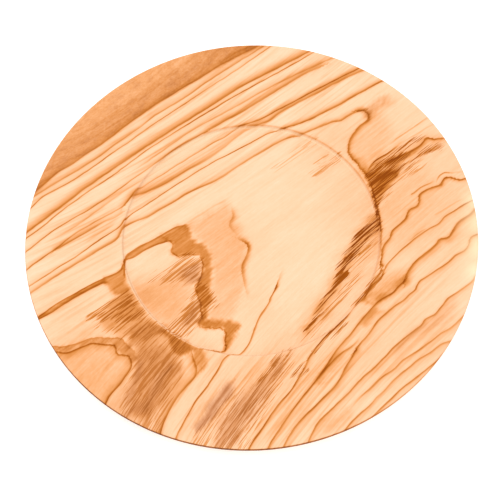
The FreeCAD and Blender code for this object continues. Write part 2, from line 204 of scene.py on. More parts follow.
# A stain is (how much it darkens, how soft its edge is in mm, how brown against orange, outline).
STAINS = [
    # darker along the heartwood's inner edge and again near the rim's top
    (0.18, 8.0, 0.4, [(-155, 36), (-138, 52), (-80, 96), (-30, 128), (-5, 141), (20, 155), (-25, 160),
     (-25, 146), (-50, 132), (-94, 102), (-112, 92), (-130, 76), (-150, 60)]),
    # the brown fill between the two edges of the same ring: rim, wall and well
    (0.4, 0.8, 0.0, [(-145, -51.5), (-130, -42), (-115, -33), (-104, -28), (-100, -26), (-100, -23),
     (-110, -28), (-120, -33.5), (-130, -40), (-145, -50)]),
    (0.46, 1.5, 0.0, [(-101, -26), (-100, -22.5), (-92, -19.5), (-88.5, -16.5), (-87, -10), (-86, -20),
     (-84.5, -30), (-83, -35), (-88, -37), (-93, -35)]),
    (0.5, 0.8, 0.0, [(-87, -13), (-86, -7.5), (-84, -4.5), (-80, -2), (-75, 1), (-70, 3), (-65, 5.5),
     (-60, 8), (-56, 2.5), (-60, 1.5), (-65, 0), (-70, -2), (-74, -4), (-78, -6.5), (-82, -8.5),
     (-85.5, -9.5), (-86, -24)]),
    (0.58, 1.8, 0.0, [(-60, 8), (-50, 13), (-44, 13.5), (-41, 8), (-38, 0), (-31, -4), (-29, -11),
     (-28, -27), (-30, -34), (-30, -44), (-34, -56), (-37, -56), (-37, -50), (-38, -43), (-40, -36),
     (-36, -26), (-34, -20), (-34.5, -14), (-36, -10), (-45, -9.5), (-51, -9.5), (-55, -6), (-53, 0),
     (-56, 2.5)]),
    (0.58, 1.8, 0.0, [(-41, -60), (-38, -57), (-28, -58.5), (-18, -60), (-12, -64), (-15, -70), (-19, -77),
     (-23, -81), (-23, -74), (-22, -70), (-23, -66), (-30, -64.5), (-37, -63)]),
    (0.42, 2.2, 0.0, [(-44, -77.5), (-37, -80), (-35.5, -87), (-38, -94), (-42, -97), (-42.5, -89)]),
    # the peach ground right of it
    (0.24, 4.0, 0.1, [(-44, 12), (-30, 21), (-16, 28), (-11, 22), (-8, 12), (-4, 2), (-3, -8), (-7, -20),
     (-7, -34), (-12, -50), (-22, -58), (-34, -60), (-30, -40), (-28, -14), (-33, -2)]),
    # the lobe's own ground and its brown band
    (0.14, 8.0, 0.0, [(-134, -76), (-110, -71), (-94, -76), (-86, -84), (-90, -98), (-101, -114),
     (-120, -120), (-150, -90)]),
    (0.42, 1.2, 0.1, [(-136, -74), (-126, -75.5), (-120, -73.5), (-114, -71), (-108, -70), (-100, -71.5),
     (-94, -73), (-93, -78), (-86, -80), (-84, -86), (-80, -82), (-85, -74), (-90, -68.5), (-100, -66.5),
     (-106, -66.5), (-112, -67.5), (-120, -70.5), (-128, -72), (-136, -71)]),
    # the wide brown stain between the lobe and the well: orange beside the wall, duller towards the rim
    (0.34, 4.0, 0.1, [(-97, -40), (-84, -32), (-79, -40), (-73, -51), (-66, -58), (-62, -64), (-72, -70),
     (-84, -70), (-96, -62), (-104, -52)]),
    (0.27, 3.5, 0.2, [(-84, -60), (-70, -57), (-60, -62), (-50, -71), (-43, -79), (-49, -83), (-52, -92),
     (-66, -116), (-76, -126), (-86, -122), (-85, -106), (-81, -92), (-80, -82), (-86, -72)]),
    (0.22, 6.0, 0.3, [(-80, -72), (-88, -97), (-100, -113), (-92, -130), (-70, -146), (-64, -130),
     (-60, -116), (-52, -98), (-54, -88), (-64, -76)]),
    (0.16, 3.0, 0.0, [(-100, -46), (-90, -38), (-83, -35), (-78, -44), (-74, -52), (-82, -56), (-92, -54)]),
    (0.5, 1.3, 0.0, [(-65, -65), (-60, -62.5), (-52, -69), (-43, -76.5), (-45, -81), (-51, -83.5),
     (-57, -80), (-59, -72)]),
    (0.16, 3.0, 0.5, [(-78, -86), (-80, -98), (-84, -112), (-86, -126), (-92, -124), (-89, -110),
     (-84, -94)]),
    (0.16, 3.0, 0.4, [(-57, -86), (-69, -110), (-76, -121), (-82, -120), (-74, -108), (-67, -94)]),
    # the pinkish wedge in the well, and the ground left of it
    (0.22, 8.0, 0.1, [(-84, -30), (-60, -20), (-46, -12), (-36, -14), (-36, -28), (-42, -44), (-42, -62),
     (-54, -62), (-76, -42)]),
    (0.28, 4.0, 0.6, [(-50, -24), (-42, -18), (-36, -14), (-35, -24), (-38, -30), (-46, -30)]),
    (0.24, 4.0, 0.5, [(-50, -56), (-42, -48), (-38, -42), (-38, -56), (-42, -60), (-50, -62)]),
    # beside the dark streak in the well, and round the dark patch on the rim
    (0.18, 5.0, 0.0, [(88, 12), (78, 6), (56, -22), (46, -42), (36, -56), (24, -74), (30, -78), (46, -62),
     (76, -26), (88, -14)]),
    (0.26, 2.0, 0.0, [(88, 12), (80, 5), (66, -12), (58, -26), (57, -33), (62, -31), (68, -22), (78, -10),
     (88, -2)]),
    (0.3, 2.0, 0.0, [(57, -30), (34, -64), (28, -72), (33, -71), (43, -57), (54, -43), (62, -33)]),
    (0.5, 1.4, 0.0, [(81.5, 41), (84.5, 25), (86.5, 11), (88.5, 16), (91, 21), (96, 27), (101, 32),
     (105, 39), (98, 40.5)]),
    (0.26, 2.0, 0.0, [(82, 41), (90, 47), (98, 50), (108, 53), (112, 52), (107, 44), (104, 38), (90, 38)]),
    (0.2, 2.0, 0.0, [(100, 49.5), (110, 52.5), (120, 57), (127, 63), (124, 57), (112, 50), (102, 45)]),
    (0.16, 4.0, 0.0, [(82, 44), (92, 54), (110, 62), (132, 66), (140, 60), (136, 52), (118, 46), (104, 34),
     (94, 24), (86, 34)]),
    (0.12, 6.0, 0.0, [(72, 70), (76, 46), (84, 40), (100, 60), (104, 80), (90, 86)]),
    (0.2, 5.0, 0.1, [(84, 90), (104, 97), (108, 94), (98, 90), (90, 82)]),
    # stains among the lines on the near rim
    (0.24, 4.0, 0.7, [(20, -86), (10, -92), (2, -102), (-12, -112), (-24, -124), (-34, -146), (-24, -152),
     (-14, -138), (-2, -124), (6, -110), (14, -98)]),
    (0.34, 2.5, 0.9, [(-18, -103), (-26, -108), (-35, -119), (-46, -134), (-40, -136), (-30, -124),
     (-20, -111)]),
    (0.1, 8.0, 0.3, [(-20, -100), (-44, -122), (-50, -140), (-30, -150), (-10, -130), (-6, -112)]),
    (0.24, 2.5, 0.0, [(58, -86), (48, -92), (40, -101), (33, -110), (36, -112), (44, -102), (54, -93)]),
    (0.32, 2.0, 0.0, [(68, -53), (76, -56), (82, -52), (94, -44), (100, -38), (98, -44), (84, -54),
     (72, -64), (66, -72), (70, -74), (74, -70), (82, -64), (76, -60)]),
    (0.24, 2.5, 0.0, [(66, -55), (71, -49), (78, -50), (88, -49), (97, -43), (99, -40), (97, -44),
     (88, -52), (80, -56)]),
    (0.26, 2.5, 0.3, [(84, 90), (96, 97), (105, 99), (100, 93), (93, 87), (89, 84)]),
    (0.22, 2.5, 0.0, [(74, 56), (78, 50), (84, 44), (84, 50), (80, 54)]),
    (0.2, 5.0, 0.0, [(94, -36), (104, -34), (100, -46), (88, -52), (78, -52), (84, -44)]),
    (0.14, 4.0, 0.5, [(116, -70), (124, -61), (130, -60), (128, -72), (112, -82), (100, -86), (84, -98),
     (92, -86), (104, -77)]),
    (0.16, 5.0, 0.0, [(50, -128), (40, -134), (30, -144), (44, -142), (54, -136)]),
]

# A zone of dark hairlines is (how much of the ground they cover, how dark, softness in mm, outline).
STREAKS = [
    # the long streak beside the well's right wall
    (0.66, 0.88, 2.2, [(88, 12), (77, 3), (68, -10), (62, -18), (56.5, -27), (57, -32), (60, -32),
     (64, -26), (77, -11), (84, -5), (88, -3)]),
    (0.8, 0.8, 2.6, [(56, -29), (63, -31), (62, -36), (57, -41), (44, -56), (38, -64), (31, -72), (28, -72),
     (33, -66), (51, -41)]),
    (0.42, 0.45, 4.0, [(88, 2), (74, -16), (66, -30), (50, -52), (36, -70), (26, -78), (32, -78), (50, -62),
     (76, -28), (86, -12)]),
    # the dark patch and its rays
    (0.6, 0.74, 1.4, [(81, 40), (84, 30), (86, 12), (89, 15), (94, 22), (101, 30), (107, 40), (114, 50),
     (106, 52), (96, 50), (88, 45)]),
    (0.42, 0.7, 2.5, [(83, 41), (92, 50), (114, 63), (128, 66), (124, 62), (110, 55), (122, 54), (134, 58),
     (136, 53), (124, 49), (112, 42), (102, 34), (96, 34)]),
    (0.5, 0.4, 3.0, [(90, 18), (98, 28), (108, 37), (120, 42), (134, 48), (120, 38), (104, 30), (94, 18)]),
    (0.5, 0.6, 2.0, [(127, 54), (133, 58), (138, 57), (136, 52), (129, 51)]),
    # between the left wall and the lower left rim
    (0.58, 0.54, 3.5, [(-112, -52), (-100, -42), (-92, -37), (-84, -33), (-79, -41), (-73, -52), (-76, -58),
     (-88, -58), (-100, -56)]),
    (0.46, 0.42, 5.0, [(-108, -58), (-92, -56), (-74, -52), (-62, -62), (-70, -72), (-84, -70)]),
    (0.42, 0.4, 2.5, [(-66, -66), (-60, -61), (-52, -69), (-44, -77), (-47, -82), (-56, -84), (-66, -78)]),
    (0.5, 0.36, 5.0, [(-82, -70), (-66, -68), (-56, -80), (-50, -84), (-52, -92), (-64, -122), (-68, -144),
     (-90, -132), (-92, -116), (-80, -84)]),
    # in the well, round the brown column
    (0.5, 0.46, 4.0, [(-72, -27), (-58, -15), (-46, -9), (-37, -10), (-34, -16), (-37, -27), (-46, -31)]),
    (0.58, 0.46, 3.0, [(-54, -24), (-42, -14), (-35, -12), (-36, -26), (-44, -29)]),
    (0.62, 0.52, 3.0, [(-62, -64), (-46, -44), (-40, -34), (-34, -32), (-28, -38), (-25, -46), (-33, -54),
     (-44, -66), (-54, -70)]),
    (0.66, 0.5, 1.6, [(-41, -32), (-36, -28), (-33, -36), (-32, -48), (-35, -58), (-39, -57), (-40, -44)]),
    # on the near rim
    (0.56, 0.62, 3.2, [(22, -83), (14, -86), (6, -92), (-1, -100), (-4, -106), (2, -104), (17, -90)]),
    (0.5, 0.42, 3.5, [(22, -86), (6, -96), (-18, -122), (-32, -144), (-36, -154), (-16, -152), (-4, -134),
     (16, -102)]),
    (0.45, 0.4, 4.0, [(-14, -108), (-26, -114), (-42, -134), (-50, -148), (-30, -150), (-18, -128)]),
    (0.56, 0.66, 2.6, [(60, -62), (52, -68), (42, -77), (32, -87), (33, -91), (44, -82), (56, -71)]),
    (0.56, 0.66, 2.4, [(28, -96), (22, -100), (17, -105), (22, -104.5), (29, -100)]),
    (0.56, 0.55, 2.8, [(86, -32), (80, -37), (66, -52), (62, -57), (66, -57), (76, -49), (84, -40)]),
    # short marks inside the far right of the well
    (0.74, 0.45, 2.5, [(44, 45), (56, 54), (66, 60), (68, 57), (58, 49), (48, 42)]),
    (0.7, 0.4, 2.5, [(48, 52), (58, 60), (62, 60), (52, 51)]),
    (0.6, 0.3, 5.0, [(18, 52), (32, 62), (46, 73), (52, 72), (38, 60), (22, 51)]),
]

# A slow change of the ground: (x, y, reach, how much darker). The lighter spot at (145, -38) is painted glare
# on the right rim.
GROUND_AND_GLARE = [
    (120, 20, 50, 0.12), (-70, 60, 60, 0.025), (20, 115, 50, -0.01), (90, 75, 40, 0.05), (95, 5, 25, 0.1),
    (60, 70, 20, 0.08), (70, 30, 22, 0.05), (-115, -60, 30, 0.1), (-66, -42, 22, 0.12),
    (-110, -92, 24, 0.13), (-125, -112, 22, 0.14), (18, 18, 40, 0.025), (-20, -10, 22, 0.05),
    (-45, -115, 28, 0.1), (20, -125, 40, 0.09), (40, -100, 22, 0.09), (70, -60, 25, 0.08),
    (110, -70, 30, 0.05), (60, 130, 30, 0.02), (-20, 120, 25, 0.03), (145, -38, 14, -0.05),
    (0, 45, 35, -0.01), (-98, -4, 13, 0.06), (-75, 12, 22, -0.01), (85, -100, 35, 0.08),
    (125, -25, 30, 0.05), (-5, -100, 25, 0.06), (60, 25, 45, 0.02), (2, -58, 16, 0.08), (80, -42, 14, 0.1),
    (142, -20, 14, 0.07), (-80, -40, 14, 0.1), (-66, -82, 18, 0.13), (-38, -78, 9, 0.1),
    (-62, -2, 11, 0.07), (42, -60, 14, 0.1), (0, 0, 18, 0.05), (-20, 60, 16, 0.05), (2, -100, 14, 0.08),
    (20, -80, 14, 0.06), (-60, 40, 14, 0.05), (0, -38, 16, 0.05), (120, 22, 14, 0.06), (-100, 20, 14, 0.05),
    (-20, -120, 14, -0.06), (42, -120, 16, -0.06),
]
# Painted glare on the right rim, where it is painted almost white: (x, y, reach).
RIM_PAINTED_GLARE = [(154, 10, 7), (156, -6, 11), (152, -26, 10), (147, -42, 7)]
# Where the pale ground shows faint bands along the fibre: (x, y, reach, how much).
BANDING = [
    (-115, 20, 42, 1), (-60, 65, 42, 1), (0, 105, 42, 1), (60, 120, 38, 0.8), (110, 75, 36, 0.25),
    (130, 5, 40, 0.4), (110, -70, 40, 0.6), (60, -115, 45, 0.9), (0, -125, 40, 1), (-50, -115, 35, 0.8),
    (-115, -60, 35, 0.7),
]

# ---- how the figure is worked out; lengths are in mm ----
GROUND_LEVEL = 0.075  # how dark the plain ground is, from 0 to 1
HEARTWOOD_DARKER = 0.37
HEARTWOOD_SOFT = 1.5
LINE_STEP = 3.0  # spacing of the points along a growth line
OUTLINE_STEP = 5.0  # and round a patch
STRETCH = 5  # steps of a course looked at together
EDGE_REACH = 14.0  # how far from a course its distance is worked out
FAR = 100.0  # the distance that points further off are given
BEHIND = 2.6  # how far behind its sharp edge a growth line may reach
FADE = 0.8  # how softly its reach ends
MESH_STEP = 2.0  # the usual length of one of the plate's faces
RIM_REACH = 8.0  # a line that ends this near the rim is carried on past it
EXTENSION = 24.0  # how far it is carried on, for the underside's sake
SLIP = 0.12  # how far the fibre shifts any line
STAIN_SWAY = 0.5  # how far a stain's edge sways for each mm of softness
SWAYS_FROM = 1.0  # a stain with a sharper edge than this doesn't sway
SWAYS_MOST = 3.0  # a softer edge than this sways no further
FULLY_DULL = 0.3  # a stain that darkens this much is as brown as it says

# The figure goes down through the plate at a slant, so it runs on over the rim's edge.
SLANT = np.array((0.75, -1.3))  # how far it moves for each mm down
SLANT_SWAY = 0.4
SLANT_WAVE = 31
TOP_TOLERANCE = 0.02  # a point further under the top face isn't on it
RIM_INNER = 95.0  # nearer the centre, depth is taken from the height here

# Rings on the top face: where each begins, is whole, stops being whole and ends.
WELL_WALL = (85.6, 86.4, 87.9, 88.7)
WALL_FACE = (85.6, 86.4, 87.0, 87.3)
SHOULDER = (87.1, 87.5, 88.1, 88.7)
RIM_EDGE = (0.55, 0.15)  # how far inside the outside radius the edge begins and is whole
NEAR_SIDE = np.array((-0.45, -0.89))
NEAR_LEFT = np.array((-0.75, -0.66))
FAR_SIDE = np.array((0.2, 0.98))
# painted shade on the near side of the rim's outer edge
RIM_EDGE_PAINTED_SHADE = 0.72
RIM_EDGE_SHADE_DULLER = 0.7
# painted highlight on the near left wall, painted light on the far wall's face and painted shade on the
# shoulder
NEAR_WALL_PAINTED_HIGHLIGHT = 0.6
FAR_WALL_PAINTED_LIGHT = 0.26
SHOULDER_PAINTED_SHADE = 0.24
SHOULDER_SHADE_DULLER = 0.15
# how strongly the painted glare on the right rim shows
RIM_GLARE_STRENGTH = 0.6


def smooth(low, high, value):
    """A smooth step of the value, from 0 at low to 1 at high."""
    t = np.clip((value - low) / (high - low), 0, 1)
    return t * t * (3 - 2 * t)


def ring(radius, begins, whole, stops, ends):
    """1 on a ring of the plate, with soft sides."""
    return smooth(begins, whole, radius) * (1 - smooth(stops, ends, radius))


def spot(xy, x, y, reach):
    """A soft round spot: 1 at its centre, fading over its reach."""
    return np.exp(-((xy - (x, y)) ** 2).sum(1) / reach ** 2)


def curve_through(points, step):
    """A smooth course through the points, which may carry a strength as a third number."""
    p = np.array([(*q, 1.0)[:3] for q in points], float)
    q = np.vstack([2 * p[0] - p[1], p, 2 * p[-1] - p[-2]])
    out = []
    for a, b, c, d in zip(q[:-3], q[1:-2], q[2:-1], q[3:]):
        n = max(1, math.ceil(np.hypot(*(c - b)[:2]) / step))
        t = np.arange(n)[:, None] / n
        bend, twist = 2 * a - 5 * b + 4 * c - d, 3 * b - a - 3 * c + d
        out.append(0.5 * (2 * b + (c - a) * t + bend * t ** 2 + twist * t ** 3))
    out = np.vstack([*out, p[-1:]])
    out[:, 2] = np.clip(out[:, 2], 0, 1)
    return out


def extended(course, plate_radius):
    """The course, carried straight on past the rim at each end that reaches the rim."""
    for end, inner in ((0, 3), (-1, -4)):
        if np.hypot(*course[end, :2]) > plate_radius - RIM_REACH:
            step = course[end, :2] - course[inner, :2]
            tip = course[end].copy()
            tip[:2] += step / np.hypot(*step) * EXTENSION
            course = np.vstack([tip, course]) if end == 0 else np.vstack([course, tip])
    return course


def to_course(xy, course):
    """Signed distance (left of the course is positive), unit direction away from it, and strength there.

    Points further than EDGE_REACH from the course come back as far off, with no strength.
    """
    near = np.full(len(xy), FAR)
    sign, strength, away = np.ones(len(xy)), np.zeros(len(xy)), np.zeros((len(xy), 2))
    for first in range(0, len(course) - 1, STRETCH):
        stretch = course[first:first + STRETCH + 1]
        low, high = stretch[:, :2].min(0) - EDGE_REACH, stretch[:, :2].max(0) + EDGE_REACH
        here = np.flatnonzero(((xy > low) & (xy < high)).all(1))
        for p, q in zip(stretch[:-1], stretch[1:]):
            d = q[:2] - p[:2]
            rel = xy[here] - p[:2]
            t = np.clip(rel @ d / (d @ d), 0, 1)
            dist = np.hypot(*(rel - t[:, None] * d).T)
            closer = dist < near[here]
            who, t = here[closer], t[closer]
            near[who] = dist[closer]
            sign[who] = np.where(d[0] * rel[closer, 1] >= d[1] * rel[closer, 0], 1, -1)
            strength[who] = p[2] + (q[2] - p[2]) * t
            away[who] = np.array((-d[1], d[0])) / np.hypot(*d)
    return sign * near, away, strength


def inside(xy, outline):
    """Signed distance to a closed outline, positive inside it."""
    closed = curve_through([*outline, outline[0]], OUTLINE_STEP)
    dist, _, _ = to_course(xy, closed)
    crossings = np.zeros(len(xy), int)
    for (x0, y0), (x1, y1) in zip(closed[:-1, :2], closed[1:, :2]):
        if y0 != y1:
            spans = (y0 > xy[:, 1]) != (y1 > xy[:, 1])
            crossings += spans & (xy[:, 0] < x0 + (xy[:, 1] - y0) * (x1 - x0) / (y1 - y0))
    return np.where(crossings % 2 == 1, 1, -1) * np.abs(dist)


def fibre_coordinates(x, y):
    """(along, across) the fibre and its direction: 34 degrees, and steeper towards the lower left."""
    lean = math.radians(34)
    along = x * math.cos(lean) + y * math.sin(lean)
    across = -x * math.sin(lean) + y * math.cos(lean)
    a, c = along / 100, across / 100
    turn, bend, fan, curl, twist, sweep = -0.043, 0.032, 0.213, -0.023, -0.061, -0.092
    bent = c + turn * a + bend * a ** 2 / 2 + fan * a * c
    bent += curl * a * c ** 2 + twist * a ** 2 * c + sweep * a * c ** 3
    by_along = turn + bend * a + fan * c + curl * c ** 2 + 2 * twist * a * c + sweep * c ** 3
    by_across = 1 + fan * a + 2 * curl * a * c + twist * a ** 2 + 3 * sweep * a * c ** 2
    angle = lean + np.arctan2(-by_along, by_across)
    return along, 100 * bent, np.stack([np.cos(angle), np.sin(angle)], 1)


# ---- turning ----
ON_PLANE = 1e-7
SAME_POINT = 1e-6


def half_section(node):
    """A turned CAD piece's outline as (radius, height), from the centre of its top round to the bottom."""
    cut = bmesh.new()
    cut.from_mesh(node.data)
    bmesh.ops.remove_doubles(cut, verts=cut.verts, dist=SAME_POINT)
    for normal in ((0, 1, 0), (1, 0, 0)):
        bmesh.ops.bisect_plane(
            cut, geom=[*cut.verts, *cut.edges, *cut.faces], dist=ON_PLANE, plane_co=(0, 0, 0), plane_no=normal
        )
    on_plane = {v for v in cut.verts if abs(v.co.y) < ON_PLANE and v.co.x > -ON_PLANE}
    links = {v: [e.other_vert(v) for e in v.link_edges if e.other_vert(v) in on_plane] for v in on_plane}
    start = max((v for v in on_plane if abs(v.co.x) < ON_PLANE), key=lambda v: v.co.z)
    path = [start]
    while True:
        onward = [v for v in links[path[-1]] if v not in path[-2:]]
        if not onward:
            break
        path.append(max(onward, key=lambda v: v.co.x) if len(path) == 1 else onward[0])
        if abs(path[-1].co.x) < ON_PLANE:
            break
    outline = np.array([(abs(v.co.x), v.co.z) for v in path])
    cut.free()
    return outline


def refined(outline, step):
    """The outline with its long runs divided to at most step(point), the point being a run's middle."""
    out = [outline[0]]
    for p, q in zip(outline[:-1], outline[1:]):
        n = max(1, math.ceil(np.hypot(*(q - p)) / step((p + q) / 2)))
        out += [p + (q - p) * k / n for k in range(1, n + 1)]
    return np.array(out)


def spun(rings, spokes):
    """Every (radius, height) of the rings at every spoke, as x, y, z."""
    xy = rings[:, None, :1] * spokes[None]
    z = np.repeat(rings[:, 1:], len(spokes), 1)[..., None]
    return np.concatenate([xy, z], 2).reshape(-1, 3)


def lathe(name, outline, segments):
    """A closed turned object and its points in mm. Its normals lean towards the outline's long runs."""
    turns = np.arange(segments) * (2 * math.pi / segments)
    spokes = np.stack([np.cos(turns), np.sin(turns)], 1)
    rings = outline[1:-1]
    verts = spun(rings, spokes)
    top, bottom = len(verts), len(verts) + 1
    verts = np.vstack([verts, (0, 0, outline[0, 1]), (0, 0, outline[-1, 1])])
    pairs = [(a, (a + 1) % segments) for a in range(segments)]
    faces = [(top, a, b) for a, b in pairs]
    last = (len(rings) - 1) * segments
    for low in range(0, last, segments):
        high = low + segments
        faces += [(low + a, high + a, high + b, low + b) for a, b in pairs]
    faces += [(bottom, last + b, last + a) for a, b in pairs]
    mesh = bpy.data.meshes.new(name)
    mesh.from_pydata(verts.tolist(), [], faces)
    mesh.shade_smooth()
    run = np.diff(outline, axis=0)
    out = np.stack([-run[:, 1], run[:, 0]], 1)
    profile = out[:-1] + out[1:]
    profile /= np.hypot(profile[:, 0], profile[:, 1])[:, None]
    normals = np.vstack([spun(profile, spokes), (0, 0, 1), (0, 0, -1)])
    mesh.normals_split_custom_set_from_vertices(normals.tolist())
    obj = bpy.data.objects.new(name, mesh)
    scene.collection.objects.link(obj)
    return obj, verts / MM


# ---- writing the figure to the plate ----
def store(mesh, name, values):
    kind = "FLOAT" if values.ndim == 1 else "FLOAT_VECTOR"
    attribute = mesh.attributes.new(name, kind, "POINT")
    attribute.data.foreach_set("value" if kind == "FLOAT" else "vector", values.astype(np.float32).ravel())


def carried_down(verts, radius, below, top_height):
    """The place in the figure that each point shows, which moves across with its depth in the wood."""
    depth = np.where(below, top_height(np.maximum(radius, RIM_INNER)) - verts[:, 2], 0)
    xy = verts[:, :2] + depth[:, None] * SLANT
    xy[:, 0] += SLANT_SWAY * depth * np.sin(verts[:, 1] / SLANT_WAVE)
    return xy


def add_stains(xy, along, across, clear, dull):
    """Darkens clear and adds to dull under every stain, whose edge sways with the fibre."""
    sway = 0.6 * np.sin(0.8 * across + 2.1 * np.sin(0.13 * along) + 1.3 * np.sin(0.31 * across))
    sway += 0.5 * np.sin(0.37 * along + 0.9 * np.sin(0.7 * across)) + 0.4 * np.sin(1.9 * across + 0.5 * along)
    for much, soft, dullness, outline in STAINS:
        shift = STAIN_SWAY * min(soft, SWAYS_MOST) * sway if soft > SWAYS_FROM else 0
        cover = much * smooth(-soft, soft, inside(xy, outline) + shift)
        clear *= 1 - cover
        dull += dullness * cover / FULLY_DULL


def paint_light_on_well_wall(verts, radius, below, clear, dull):
    """Paints light and shade on the well's wall into clear and dull, and returns where painted light makes it
    paler than the wood's colours.

    It has a painted highlight at the near left, painted shade and brown on its shoulder elsewhere, and
    painted light on the far wall's face.
    """
    to_near_left = verts[:, :2] @ NEAR_LEFT / np.maximum(radius, 1)
    to_far_side = verts[:, :2] @ FAR_SIDE / np.maximum(radius, 1)
    # painted highlight on the near left wall
    near_wall_highlight = ring(radius, *WELL_WALL) * ~below * smooth(0.45, 0.8, to_near_left) * NEAR_WALL_PAINTED_HIGHLIGHT
    clear += (1 - GROUND_LEVEL - clear) * near_wall_highlight
    # painted shade on the shoulder, away from the near left
    shoulder_shade = ring(radius, *SHOULDER) * ~below * smooth(0.0, 0.7, -to_near_left)
    clear *= 1 - SHOULDER_PAINTED_SHADE * shoulder_shade
    dull += SHOULDER_SHADE_DULLER * shoulder_shade
    # painted light on the far wall's face
    return FAR_WALL_PAINTED_LIGHT * ring(radius, *WALL_FACE) * ~below * smooth(0.3, 0.8, to_far_side)


def line_layers(xy, fibre, plate_radius):
    """The growth lines, shared out so that no two of a layer come near each other.

    For each point of the mesh a layer holds (distance from a line, edge darkness, edge width) and
    (band darkness, band reach, slip), where slip says how far the ragged fibre shifts the line.
    """
    layers = []
    for edge, band, reach, width, ragged, points in LINES:
        course = extended(curve_through(points, LINE_STEP), plate_radius)
        dist, away, strength = to_course(xy, course)
        ahead = max(reach, width) + 1
        shown = (dist > -BEHIND - 2 * MESH_STEP) & (dist < ahead + 2 * MESH_STEP)
        layer = next((other for other in layers if not (shown & other["shown"]).any()), None)
        if layer is None:
            edges, bands = np.tile((0.0, 0.0, 1.0), (len(xy), 1)), np.tile((0.0, 1.0, 0.0), (len(xy), 1))
            layer = {"shown": np.zeros(len(xy), bool), "edge": edges, "band": bands}
            layers.append(layer)
        layer["shown"] |= shown
        fade = strength * smooth(-BEHIND, FADE - BEHIND, dist) * (1 - smooth(ahead - FADE, ahead, dist))
        slip = ragged * (away * fibre).sum(1) + SLIP
        same = np.ones(len(xy))
        layer["edge"][shown] = np.stack([dist, edge * fade, same * width], 1)[shown]
        layer["band"][shown] = np.stack([band * fade, same * max(reach, 1), slip], 1)[shown]
    return layers


def streak_zones(xy):
    """How much of the ground the dark hairlines cover at each point, and how dark they are."""
    streak, darkest = np.zeros(len(xy)), np.zeros(len(xy))
    for much, depth, soft, outline in STREAKS:
        cover = much * smooth(-soft, soft, inside(xy, outline))
        darkest = np.where(cover > streak, depth, darkest)
        streak = np.maximum(streak, cover)
    return streak, darkest


def figure(mesh, verts, top_height, plate_radius):
    """Writes the figure of the wood, with its painted shade and painted light, to the mesh and returns how
    many layers its growth lines take.

    verts are in mm, and top_height(radius) is the height of the top face.
    """
    radius = np.hypot(verts[:, 0], verts[:, 1])
    below = top_height(radius) - verts[:, 2] > TOP_TOLERANCE
    xy = carried_down(verts, radius, below, top_height)
    along, across, fibre = fibre_coordinates(xy[:, 0], xy[:, 1])
    store(mesh, "grain", np.stack([along, across, verts[:, 2]], 1))

    # clear is how much light the wood keeps, and dull is how brown it is rather than orange
    # the ground's own tone, with painted glare at the right rim
    tone = sum((much * spot(xy, x, y, reach) for x, y, reach, much in GROUND_AND_GLARE), GROUND_LEVEL)
    # painted shade: the outer edge is darker and browner on the near side, the side facing the viewer
    rim_edge_shade = smooth(plate_radius - RIM_EDGE[0], plate_radius - RIM_EDGE[1], radius)
    rim_edge_shade *= smooth(0.0, 1.0, verts[:, :2] @ NEAR_SIDE / plate_radius)
    clear = 1 - tone - RIM_EDGE_PAINTED_SHADE * rim_edge_shade
    dull = RIM_EDGE_SHADE_DULLER * rim_edge_shade
    heart = smooth(-HEARTWOOD_SOFT, HEARTWOOD_SOFT, inside(xy, HEARTWOOD))
    clear *= 1 - HEARTWOOD_DARKER * heart
    add_stains(xy, along, across, clear, dull)
    # painted light and shade on the well's wall
    painted_light = paint_light_on_well_wall(verts, radius, below, clear, dull)
    # painted glare on the right rim
    for x, y, reach in RIM_PAINTED_GLARE:
        painted_light = np.maximum(painted_light, RIM_GLARE_STRENGTH * spot(xy, x, y, reach))
    store(mesh, "tone", 1 - clear)
    store(mesh, "dull", np.clip(dull, 0, 1))
    store(mesh, "heart", heart)
    store(mesh, "painted_light", painted_light)
    banding = sum(much * spot(xy, x, y, reach) for x, y, reach, much in BANDING)
    store(mesh, "banding", np.clip(banding, 0, 1))
    streak, streak_depth = streak_zones(xy)
    store(mesh, "streak", streak)
    store(mesh, "streak_depth", streak_depth)
    layers = line_layers(xy, fibre, plate_radius)
    for number, layer in enumerate(layers):
        store(mesh, f"edge_{number}", layer["edge"])
        store(mesh, f"band_{number}", layer["band"])
    return len(layers)


# ---- materials ----
LIGHT_LEVEL = 1.25
SHEEN_LEVEL = 0.003


def linear(*srgb):
    """A surface colour that shows as this sRGB colour, 0 to 255, in the scene's light."""
    out = []
    for c in srgb:
        c /= 255
        out.append(max(0.0, ((c + 0.055) / 1.055) ** 2.4 - SHEEN_LEVEL) / LIGHT_LEVEL)
    return (*out, 1.0)


